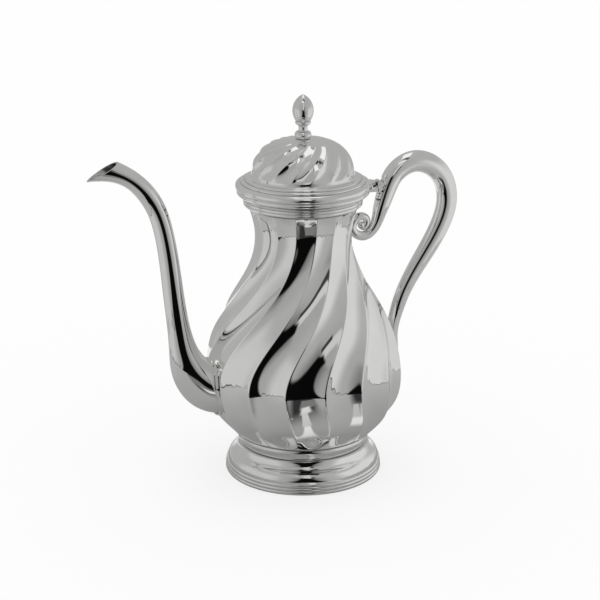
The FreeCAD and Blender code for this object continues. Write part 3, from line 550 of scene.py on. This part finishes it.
# Painted shade darkens the inside skin.
ring_shade = [0.0] * len(outside) + [spout_inside_shade] * len(inside) + [0.0]
spout_shade = [each_shade for each_shade in ring_shade for number in range(SPOUT_AROUND)]
drawn_silver = silver("drawn_silver", ripple_height=0.02, ripple_size=90.0, wipe_size=140.0,
                      smooth=0.02, hazy=0.06)
add_mesh("swan_neck_spout", vertices, faces, drawn_silver, "pot", "spout_tube",
         sharp_angle=50, crevice=spout_shade)

# Spout collar: the narrow rim of wire that hides the seam between spout and body, soldered all round.
# The CAD node has its full shape and only takes the spout's finish.


def dress(material, *names):
    """Gives CAD nodes their finish."""
    for name in names:
        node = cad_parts[name]
        node.data.materials.clear()
        node.data.materials.append(material)


dress(drawn_silver, "spout_collar")

# Handle: cast solid, filed and polished, soldered to the body at its tapered tail and to the neck
# at its scroll. It is hollowed for the hinge, and the scroll ends in a ball for its eye.
lid_gap = 0.4
lid_base = band_top + lid_gap
hinge_x, hinge_z = 57.5, 211.7
stem_edge, loop, crown, curl = 57.4, 110.5, 226.0, 37.4
grip, scroll, tail = 15.4, 6.4, 8.0
handle_stops = [
    (belly_radius + 1.5, belly_height + 8.5, tail * 0.3), (belly_radius - 0.4, belly_height + 15, tail * 0.7),
    (belly_radius - 2.2, belly_height + 24, tail), (belly_radius - 1.8, belly_height + 34, tail + 1.2),
    (belly_radius + 0.2, belly_height + 42.5, tail + 2), (belly_radius + 5.2, belly_height + 57, tail + 3),
    (loop - 20.1, belly_height + 80.5, grip - 2.6), (loop - 6.2, lid_base - 35.4, grip - 1),
    (loop, lid_base - 12.8, grip), (loop - 8.3, crown - 7.4, grip), (loop - 26, crown, grip + 0.4),
    (stem_edge + 11.2, lid_base + 7.6, grip - 0.8), (stem_edge + 6.9, lid_base - 0.8, grip - 1.6),
    (stem_edge + 3.4, lid_base - 10.8, grip - 2.8), (stem_edge + 0.9, lid_base - 18.8, grip - 4.8),
    (curl + 18.2, neck_height + 4, scroll + 2), (curl + 14.2, neck_height - 1.9, scroll + 1),
    (curl + 8.5, neck_height - 4.5, scroll + 0.7), (curl + 3.5, neck_height - 3, scroll + 0.4),
    (curl, neck_height + 1.5, scroll), (curl + 1.5, neck_height + 7, scroll - 0.2),
    (curl + 6.2, neck_height + 10.3, scroll - 0.4), (curl + 10.4, neck_height + 8.4, scroll - 0.8),
    (curl + 11, neck_height + 4.6, scroll - 1.2), (curl + 8.7, neck_height + 2, scroll - 1.6),
    (curl + 6.1, neck_height + 3.2, scroll - 2.2),
]
handle_line = Bent([(x, z, thick, thick) for x, z, thick in handle_stops])
notch_half, notch_reach, seat_radius = 3.8, 5, 2.7
way_low, way_high, way_depth = 0.5, 8, 2.5


def clear_of_hinge(point):
    """Moves a point of the handle back out of the way of the lid's knuckle and tongue."""
    x, y, z = point
    up = z - hinge_z
    if abs(y) < notch_half and abs(x - hinge_x) < notch_reach:
        if abs(up) < seat_radius:
            x = max(x, hinge_x + math.sqrt(seat_radius ** 2 - up ** 2))
        if way_low < up < way_high:
            x = max(x, hinge_x + way_depth)
    return (x, y, z)


HANDLE_ROWS, HANDLE_AROUND, END_ROWS, EYE_ROWS = 480, 40, 8, 20
angles = [2 * math.pi * number / HANDLE_AROUND for number in range(HANDLE_AROUND)]
handle_rings = []
for row in range(HANDLE_ROWS + 1):
    along = handle_line.length * row / HANDLE_ROWS
    handle_rings.append([clear_of_hinge(handle_line.point(along, angle)) for angle in angles])


def rounded_end(along, direction):
    """Rings that close an end of the handle with a half ball."""
    x, z, radius = (curve(along) for curve in handle_line.curves[:3])
    radius /= 2
    dx, dz = handle_line.heading(along)
    rings = []
    for step in range(1, END_ROWS):
        lean = math.pi / 2 * step / END_ROWS
        ahead = direction * radius * math.sin(lean)
        around = radius * math.cos(lean)
        rings.append([(x + dx * ahead - dz * around * math.sin(angle), around * math.cos(angle),
                       z + dz * ahead + dx * around * math.sin(angle)) for angle in angles])
    return rings


handle_rings = rounded_end(0.0, -1)[::-1] + handle_rings + rounded_end(handle_line.length, 1)
vertices, faces = lathe_rings(handle_rings, closed=True)
eye_x, eye_z, eye_radius = curl + 6.8, neck_height + 4, 2.6
eye_rings = []
for row in range(1, EYE_ROWS):
    lean = math.pi * row / EYE_ROWS
    out = eye_radius * math.sin(lean)
    aside = -eye_radius * math.cos(lean)
    eye_rings.append([(eye_x - out * math.cos(angle), aside, eye_z + out * math.sin(angle))
                      for angle in angles])
eye_vertices, eye_faces = lathe_rings(eye_rings, closed=True)
faces += [tuple(corner + len(vertices) for corner in face) for face in eye_faces]
vertices += eye_vertices
cast_silver = silver("cast_silver", ripple_height=0.03, ripple_size=80.0, wipe_size=120.0,
                     smooth=0.015, hazy=0.045)
add_mesh("scrolled_handle", vertices, faces, cast_silver, "pot", "handle", sharp_angle=80)

# Hinge: a filed bar from band to handle with a saddle for two knuckles, and a drawn pin through them.
# The lid's tongue and middle knuckle turn on the same pin.
hinge_silver = silver("hinge_silver", wipe_size=300.0, smooth=0.06, hazy=0.16, bright=0.86, dull=0.76)
dress(hinge_silver, "hinge_fixed_leaf", "hinge_knuckle_near", "hinge_knuckle_far", "hinge_pin",
      "lid_leaf", "lid_knuckle")

# Lid rim: a moulding turned in one piece, a large bead over a small one and two steps up to the dome.
# It rests over the mouth band with a narrow gap, and painted shade darkens its underside there.
rim_bore, rim_radius, step_curve = 42.6, 46.6, 1.4
bead_low, low_step, high_step, ledge = 212.7, 218.0, 219.9, 221.5
dome_foot, dome_radius = 223.0, 36.9
spun("moulded_rim", [
    (rim_bore, lid_base), (rim_radius - 1.3, lid_base, 1.8, 1), (rim_radius, bead_low, 2.75, 1),
    (rim_radius - 1.2, low_step), (rim_radius - 2.3, low_step, step_curve, 1),
    (dome_radius + 5.7, high_step), (dome_radius + 4.5, high_step, step_curve, 1),
    (dome_radius + 2.9, ledge), (dome_radius + 1.3, ledge, step_curve, -1), (dome_radius, dome_foot),
    (dome_radius - sheet_metal, dome_foot), (dome_radius - sheet_metal, dome_foot - 2.6), (rim_bore, 214.8),
], spun_silver, "lid", "lid_rim", edge=0.12, dull=((lid_base, 0.6),))

# Bezel: the ring of sheet under the lid that drops into the mouth, soldered inside the rim.
# The CAD node has its full shape.
dress(spun_silver, "lid_bezel")

# Dome: raised from sheet and chased with the same swirl as the body, soldered on the rim.
# Its flat crown has a hole for the finial's stud.
dome_rise, dome_squareness, crown_radius, stud_hole = 25.9, 2.84, 5.4, 2.1
dome_flute, dome_plain, dome_run_in, dome_run_out = 2.2, 0.03, 0.16, 0.25
dome_start_turn, dome_swirl, dome_quickening = 24, 64.6, 1.2
OUTLINE_STEPS, DOME_OUTSIDE_ROWS, DOME_INSIDE_ROWS, DOME_FLUTE_STEPS = 800, 110, 60, 7


def dome_rows(inset, steps):
    """Rows of the dome from its foot to its crown, equally spaced along the outline."""
    radius = dome_radius - inset
    rise = dome_rise - inset
    last = math.sqrt(1 - (crown_radius / radius) ** dome_squareness)
    outline = []
    for step in range(OUTLINE_STEPS + 1):
        share = last * math.sin(step * math.pi / (2 * OUTLINE_STEPS))
        outline.append((radius * (1 - share * share) ** (1 / dome_squareness), dome_foot + rise * share))
    run = np.concatenate([[0], np.cumsum([math.dist(*ends) for ends in zip(outline, outline[1:])])])
    rows = []
    for step in range(steps + 1):
        along = step / steps
        out = float(np.interp(along * run[-1], run, [point[0] for point in outline]))
        up = float(np.interp(along * run[-1], run, [point[1] for point in outline]))
        fade = arch((along - dome_plain) / dome_run_in) * arch((1 - along) / dome_run_out)
        turn = math.radians(dome_start_turn + dome_swirl * along ** dome_quickening)
        rows.append((out, up, dome_flute * out / radius * fade, turn))
    return rows


dome_shares = flute_shares(DOME_FLUTE_STEPS)
dome_outside = dome_rows(0, DOME_OUTSIDE_ROWS)
dome_inside = dome_rows(sheet_metal, DOME_INSIDE_ROWS)
rings = fluted_rows(dome_outside, dome_shares)
for skin in (dome_outside, dome_inside):
    rings += fluted_rows([(stud_hole, skin[-1][1], 0, skin[-1][3])], dome_shares)
rings += fluted_rows(dome_inside, dome_shares)[::-1]
rings.append(rings[0])
vertices, faces = lathe_rings(rings)
add_mesh("fluted_dome", vertices, faces, chased_silver, "lid", "lid_dome", sharp_angle=60)

# Finial: turned from rod, a pointed bud in a cup on a thin neck and a round foot. Its stud goes down
# through the dome to a washer and a nut.
finial_low = dome_outside[-1][1]
stud_radius, stud_length = 2, 6.2
finial_foot, foot_shoulder, foot_curve = 5.1, 5.0, 3.68
neck_radius_low, neck_radius_high, neck_hollow = 3.6, 3.8, 6.0
cup_radius, cup_curve = 4.8, 1.91
bud_tip, bud_wide, bud_base = 2.0, 7.5, 5.3
neck_foot = finial_low + 4.9
cup_low = neck_foot + 5.0
bud_low = cup_low + 2.5
bud_belly = bud_low + 7.5
bud_crown = bud_low + 18.8
side = bud_crown - bud_belly - bud_tip
centre = ((bud_wide - bud_tip) ** 2 - side ** 2) / (2 * (bud_wide - bud_tip))
upper = bud_wide - centre
lower = ((bud_wide - bud_base) ** 2 + (bud_belly - bud_low) ** 2) / (2 * (bud_wide - bud_base))
tip_share = bud_tip / (upper - bud_tip)
turned_silver = silver("turned_silver", lathe=1.0, wipe_size=500.0, smooth=0.015, hazy=0.045)
# Painted shade darkens the finial's foot where it sits on the dome.
spun("bud_finial", [
    (0, finial_low - stud_length), (stud_radius, finial_low - stud_length), (stud_radius, finial_low),
    (finial_foot, finial_low, foot_curve, 1), (foot_shoulder, neck_foot),
    (neck_radius_low, neck_foot, neck_hollow, -1), (neck_radius_high, cup_low),
    (cup_radius, cup_low, cup_curve, 1),
    (bud_base, bud_low, lower, 1), (bud_wide, bud_belly, upper, 1),
    (-centre * tip_share, bud_crown - bud_tip + side * tip_share, bud_tip, 1), (0, bud_crown),
], turned_silver, "lid", "finial", edge=0.1, around=96, dull=((finial_low, 0.5),))

# Washer and nut: plain brass, hidden inside the dome, that pull the finial down.
# Both are CAD nodes with their full shape.
brass = bpy.data.materials.new("plain_brass")
brass.use_nodes = True
brass_metal = brass.node_tree.nodes["Principled BSDF"]
brass_metal.inputs["Metallic"].default_value = 1.0
brass_polish = brass.node_tree.nodes.new("ShaderNodeGroup")
brass_polish.node_tree = polish_and_crevice_shade
brass_polish.inputs["Smooth"].default_value = 0.18
brass_polish.inputs["Hazy"].default_value = 0.4
brass.node_tree.links.new(brass_polish.outputs["Roughness"], brass_metal.inputs["Roughness"])
brass_tint = brass.node_tree.nodes.new("ShaderNodeMix")
brass_tint.data_type = "RGBA"
brass_tint.blend_type = "MULTIPLY"
brass_tint.inputs["Factor"].default_value = 1.0
brass_tint.inputs["B"].default_value = (0.9, 0.66, 0.3, 1.0)
brass.node_tree.links.new(brass_polish.outputs["Color"], brass_tint.inputs["A"])
brass.node_tree.links.new(brass_tint.outputs["Result"], brass_metal.inputs["Base Color"])
dress(brass, "finial_washer", "finial_nut")

# Studio: the pot stands on pale paper in a small tent of grey cloth. The camera looks in through a dark
# slit in the wall, and the top has two lit panels and three holes. Only mirrored rays meet the tent;
# the light itself comes from the white room around it.
scene = bpy.context.scene
scene.view_settings.view_transform = "Standard"
CAMERA_SIDE = math.radians(18)
TENT_RADIUS, TENT_HEIGHT, WALL_STEPS = 0.34, 0.60, 128
FLOOR_HALF = 3


def staged(name, vertices, faces):
    """A stage mesh whose -Y side faces the camera, with an empty material."""
    mesh = bpy.data.meshes.new(name)
    mesh.from_pydata(vertices, [], faces)
    for polygon in mesh.polygons:
        polygon.use_smooth = True
    thing = bpy.data.objects.new(name, mesh)
    thing.rotation_euler.z = -CAMERA_SIDE
    scene.collection.objects.link(thing)
    material = bpy.data.materials.new(name)
    material.use_nodes = True
    mesh.materials.append(material)
    return thing, material.node_tree


def staged_square(name, half, height):
    """A level square of the stage, centred on the pot."""
    corners = [(half * right, half * back, height) for right, back in ((-1, -1), (1, -1), (1, 1), (-1, 1))]
    return staged(name, corners, [(0, 1, 2, 3)])


def stage_place(tree):
    """Where a ray meets the stage: how far to the picture's right, towards the camera and up."""
    place = tree.nodes.new("ShaderNodeTexCoord")
    apart = tree.nodes.new("ShaderNodeSeparateXYZ")
    tree.links.new(place.outputs["Object"], apart.inputs[0])
    return apart.outputs["X"], sums(tree, "MULTIPLY", apart.outputs["Y"], -1.0), apart.outputs["Z"]


def bearing_of(tree, right, ahead):
    """Degrees round the pot from the camera towards the right of the picture."""
    return sums(tree, "DEGREES", sums(tree, "ARCTAN2", right, ahead))


def ramp(tree, value, low, high, at_low, at_high):
    """Eases from at_low to at_high while value goes from low to high."""
    node = tree.nodes.new("ShaderNodeMapRange")
    node.interpolation_type = "SMOOTHSTEP"
    for title, given in (("Value", value), ("From Min", low), ("From Max", high),
                         ("To Min", at_low), ("To Max", at_high)):
        feed(tree, node.inputs[title], given)
    return node.outputs["Result"]


def towards(tree, share, start, end):
    """start where share is 0, end where it is 1."""
    node = tree.nodes.new("ShaderNodeMix")
    for title, value in (("Factor", share), ("A", start), ("B", end)):
        feed(tree, node.inputs[title], value)
    return node.outputs["Result"]


def glow(thing, tree, strength):
    """Shows the given brightness to mirrored rays and nothing to any others."""
    lamp = tree.nodes.new("ShaderNodeEmission")
    tree.links.new(strength, lamp.inputs["Strength"])
    tree.links.new(lamp.outputs[0], tree.nodes["Material Output"].inputs["Surface"])
    thing.visible_camera = False
    thing.visible_diffuse = False
    thing.visible_shadow = False


def soft_patch(tree, along, across, middle, half, edge):
    """1 inside a soft-edged oblong and 0 outside it."""
    masks = []
    for place, centre, reach, fade in zip((along, across), middle, half, edge):
        off = sums(tree, "ABSOLUTE", sums(tree, "SUBTRACT", place, centre))
        masks.append(ramp(tree, off, reach - fade, reach + fade, 1.0, 0.0))
    return sums(tree, "MULTIPLY", *masks)


wall_points = []
wall_faces = []
for step in range(WALL_STEPS):
    angle = 2 * math.pi * step / WALL_STEPS
    for height in (0.0, TENT_HEIGHT):
        wall_points.append((TENT_RADIUS * math.sin(angle), -TENT_RADIUS * math.cos(angle), height))
    onward = (step + 1) % WALL_STEPS
    wall_faces.append((2 * step, 2 * step + 1, 2 * onward + 1, 2 * onward))
wall, tree = staged("tent_wall", wall_points, wall_faces)
right, ahead, up = stage_place(tree)
bearing = bearing_of(tree, right, ahead)
either_way = sums(tree, "ABSOLUTE", bearing)

# The wall's cloth is darkest near the camera, brighter on both sides and white behind the pot.
cloth = ramp(tree, either_way, 15, 60, 0.40, 0.46)
for sideways, middle, half, edge, brightness in (
        (bearing, (-70, 0.08), (32, 0.20), (12, 0.06), 0.61),
        (bearing, (95, 0.08), (38, 0.23), (12, 0.08), 0.72),
        (either_way, (180, 0.0), (28, 0.17), (6, 0.03), 0.95)):
    cloth = towards(tree, soft_patch(tree, sideways, up, middle, half, edge), cloth, brightness)

# It darkens on both sides of the slit, which leans to the left at its upper end.
lean_low, lean_high, dusk_depth = 0.22, 0.28, 0.6
right_of = sums(tree, "SUBTRACT", bearing, ramp(tree, up, lean_low, lean_high, 5.5, 1.0))
left_of = sums(tree, "MULTIPLY", right_of, -1.0)
right_dusk = ramp(tree, right_of, 6, 34, dusk_depth, 0.0)
left_dusk = ramp(tree, left_of, 8, 28, dusk_depth, 0.0)
dusk = sums(tree, "MINIMUM", right_dusk, left_dusk)
dusk = sums(tree, "MULTIPLY", dusk, ramp(tree, up, 0.22, 0.32, 1.0, 0.0))
cloth = sums(tree, "MULTIPLY", cloth, sums(tree, "SUBTRACT", 1.0, dusk))

# A lighter strip hangs above the slit, with a narrow dark gap beside it.
for middle, half, edge, brightness in (
        ((8, 0.50), (7, 0.22), (3, 0.02), 0.64), ((17, 0.33), (3.5, 0.07), (1.5, 0.01), 0.05)):
    cloth = towards(tree, soft_patch(tree, bearing, up, middle, half, edge), cloth, brightness)

# The hem hangs unevenly over the floor, and its dark line fades out behind the pot.
hem_wave, below_hem = 0.014, 0.44
folds = tree.nodes.new("ShaderNodeTexNoise")
folds.noise_dimensions = "1D"
folds.inputs["Scale"].default_value = 0.12
folds.inputs["Detail"].default_value = 0.0
tree.links.new(bearing, folds.inputs["W"])
hem = ramp(tree, folds.outputs["Fac"], 0.25, 0.75, 0.0, hem_wave)
above_hem = sums(tree, "SUBTRACT", up, hem)
cloth = towards(tree, ramp(tree, above_hem, -0.001, 0.0, 1.0, 0.0), cloth, below_hem)
hem_line = ramp(tree, sums(tree, "ABSOLUTE", above_hem), 0.001, 0.002, 0.9, 0.0)
hem_line = sums(tree, "MULTIPLY", hem_line, ramp(tree, either_way, 60, 120, 1.0, 0.0))

# The slit is almost black, flares out towards the floor and ends at the height of the finial.
slit_flare, flare_height, slit_tone = 22.0, 0.07, 0.003
flare = sums(tree, "EXPONENT", sums(tree, "DIVIDE", up, -flare_height))
half_slit = sums(tree, "MULTIPLY_ADD", flare, slit_flare, ramp(tree, up, lean_low, lean_high, 8.5, 6.0))
past_slit = sums(tree, "SUBTRACT", sums(tree, "ABSOLUTE", right_of), half_slit)
slit = sums(tree, "MULTIPLY", ramp(tree, past_slit, -2, 3, 1.0, 0.0), ramp(tree, up, 0.28, 0.31, 1.0, 0.0))
glow(wall, tree, towards(tree, sums(tree, "MAXIMUM", slit, hem_line), cloth, slit_tone))

# The top: dull cloth with a paler patch, the two lit panels and then the three holes.
top, tree = staged_square("tent_top", TENT_RADIUS, TENT_HEIGHT)
right, ahead = stage_place(tree)[:2]
panel_edge = (0.012, 0.012)
cloth = ramp(tree, sums(tree, "ABSOLUTE", right), 0.1, 0.3, 0.47, 0.44)
for middle, half, brightness in (
        ((-0.08, 0.08), (0.05, 0.05), 0.58),
        ((0.0, 0.24), (0.085, 0.055), 0.96), ((0.02, -0.13), (0.075, 0.16), 0.98),
        ((0.085, 0.16), (0.033, 0.05), 0.02), ((0.02, 0.10), (0.035, 0.026), 0.06),
        ((0.0, 0.33), (0.05, 0.016), 0.01)):
    cloth = towards(tree, soft_patch(tree, right, ahead, middle, half, panel_edge), cloth, brightness)
glow(top, tree, cloth)

# The floor as the pot mirrors it: grey paper with a deep shade towards the camera, and in that shade
# two paler patches.
tree = staged_square("pale_floor", FLOOR_HALF, 0)[1]
right, ahead = stage_place(tree)[:2]
shade_depth, shade_tone, patch_edge = 0.94, 0.01, (0.01, 0.01)
tone = ramp(tree, sums(tree, "ABSOLUTE", right), 0.12, 0.32, 0.44, 0.50)
bearing = bearing_of(tree, right, ahead)
reach = sums(tree, "SQRT", sums(tree, "MULTIPLY_ADD", right, right, sums(tree, "MULTIPLY", ahead, ahead)))
shade = soft_patch(tree, bearing, reach, (8, 0.40), (20, 0.245), (6, 0.07))
tone = towards(tree, sums(tree, "MULTIPLY", shade, shade_depth), tone, shade_tone)
for middle, half, brightness in (
        ((0.005, 0.262), (0.055, 0.05), 0.22), ((0.02, 0.20), (0.028, 0.025), 0.8)):
    tone = towards(tree, soft_patch(tree, right, ahead, middle, half, patch_edge), tone, brightness)

# Two pale strips run from the pot's foot towards the camera, each brightest at the foot, and the paper
# behind the pot is pale.
strip_edge = (0.015, 0.008)
for start, lean, near, far, wide, brightness in (
        (0.006, 0.115, 0.105, 0.185, 0.085, 0.7), (0.006, 0.115, 0.062, 0.105, 0.055, 0.98),
        (0.04, 0.25, 0.095, 0.165, 0.05, 0.60), (0.04, 0.25, 0.065, 0.095, 0.05, 0.95)):
    beside = sums(tree, "SUBTRACT", sums(tree, "MULTIPLY_ADD", ahead, -lean, right), start)
    strip = soft_patch(tree, sums(tree, "DIVIDE", beside, ahead), ahead, (0.0, (near + far) / 2),
                       (wide, (far - near) / 2), strip_edge)
    tone = towards(tree, strip, tone, brightness)
away = sums(tree, "MULTIPLY", ahead, -1.0)
behind = ramp(tree, away, 0.08, 0.22, 0.0, 1.0)
tone = towards(tree, behind, tone, ramp(tree, right, -0.05, 0.10, 0.97, 0.60))

# The camera sees white paper with the pot's soft shadow, and mirrored rays see the tones above.
paper_white, paper_glow = 0.97, 0.7
mirrored_paper = tree.nodes.new("ShaderNodeBsdfDiffuse")
tree.links.new(tone, mirrored_paper.inputs["Color"])
paper = tree.nodes["Principled BSDF"]
paper.inputs["Base Color"].default_value = (paper_white, paper_white, paper_white, 1)
paper.inputs["Roughness"].default_value = 0.8
paper.inputs["Specular IOR Level"].default_value = 0.0
white = tree.nodes.new("ShaderNodeEmission")
seen_paper = tree.nodes.new("ShaderNodeMixShader")
seen_paper.inputs["Fac"].default_value = paper_glow
tree.links.new(paper.outputs[0], seen_paper.inputs[1])
tree.links.new(white.outputs[0], seen_paper.inputs[2])
ray = tree.nodes.new("ShaderNodeLightPath")
either_paper = tree.nodes.new("ShaderNodeMixShader")
tree.links.new(ray.outputs["Is Camera Ray"], either_paper.inputs["Fac"])
tree.links.new(mirrored_paper.outputs[0], either_paper.inputs[1])
tree.links.new(seen_paper.outputs[0], either_paper.inputs[2])
tree.links.new(either_paper.outputs[0], tree.nodes["Material Output"].inputs["Surface"])

world = bpy.data.worlds.new("white_room")
scene.world = world
world.use_nodes = True
world.node_tree.nodes["Background"].inputs["Color"].default_value = (1, 1, 1, 1)

# Camera: the photograph's viewing angle, a little to the spout's side and above the lid.
# The lens is as long as the photograph's perspective asks for.
camera_reach, camera_height, camera_dip = 1.150, 0.506, 18.15
picture_width, lens_pixels, pot_offset = 600, 1667, -3
lens = bpy.data.cameras.new("camera")
camera = bpy.data.objects.new("camera", lens)
scene.collection.objects.link(camera)
scene.camera = camera
camera.location = (-camera_reach * math.sin(CAMERA_SIDE), -camera_reach * math.cos(CAMERA_SIDE),
                   camera_height)
camera.rotation_euler = (math.radians(90 - camera_dip), 0.0, -CAMERA_SIDE)
lens.sensor_width = 36.0
lens.lens = lens_pixels / picture_width * lens.sensor_width
lens.shift_x = pot_offset / picture_width
